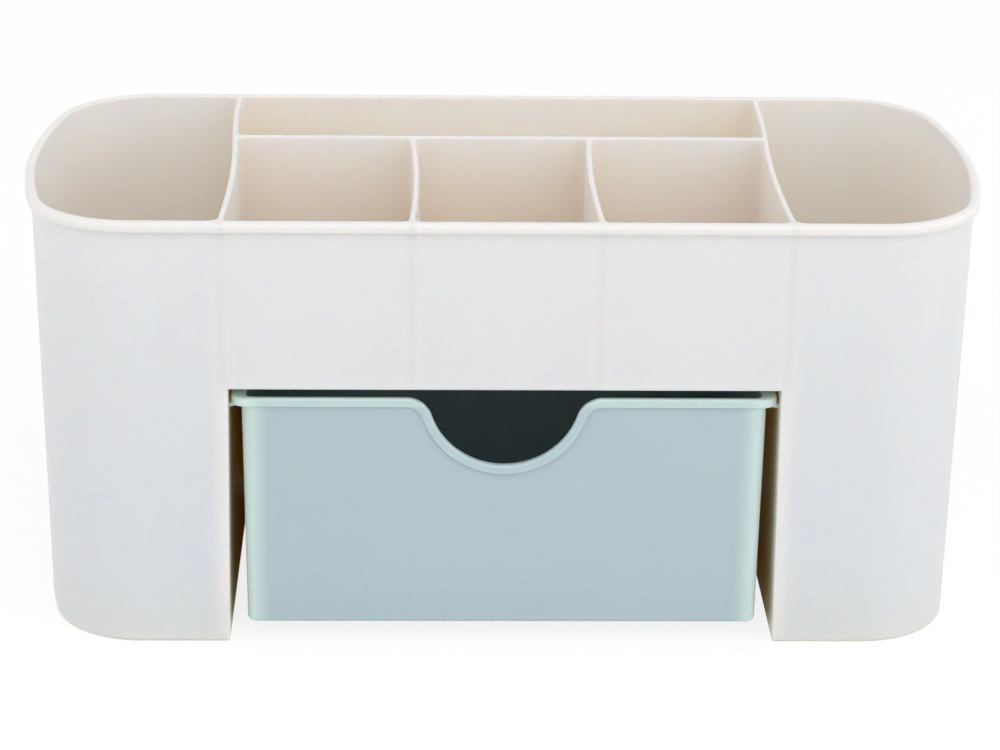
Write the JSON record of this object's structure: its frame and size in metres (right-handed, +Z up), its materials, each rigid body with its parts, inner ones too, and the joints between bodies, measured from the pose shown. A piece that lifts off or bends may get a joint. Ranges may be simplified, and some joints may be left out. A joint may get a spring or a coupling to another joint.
{
  "type": "desktop organizer",
  "caption": "Open-topped plastic desktop organizer with round-cornered end cups, divided compartments, a rear slot and a pull-out drawer with a finger notch.",
  "frame": {"origin": "middle of the footprint, on the surface that the organizer stands on", "axes": "+Z up, +X to the right along the width, the drawer pulls out along -Y"},
  "size_m": [0.22, 0.103, 0.102],
  "materials": {
    "body_plastic": "satin white polypropylene",
    "drawer_plastic": "satin pale blue-green polypropylene"
  },
  "bodies": {
    "organizer": {"organizer_body": "body_plastic"},
    "drawer": {"drawer": "drawer_plastic"}
  },
  "joints": [
    {"name": "drawer_slide", "type": "slide", "parent": "organizer", "child": "drawer", "axis": [0, -1, 0], "range_m": [0, 0.07]}
  ]
}
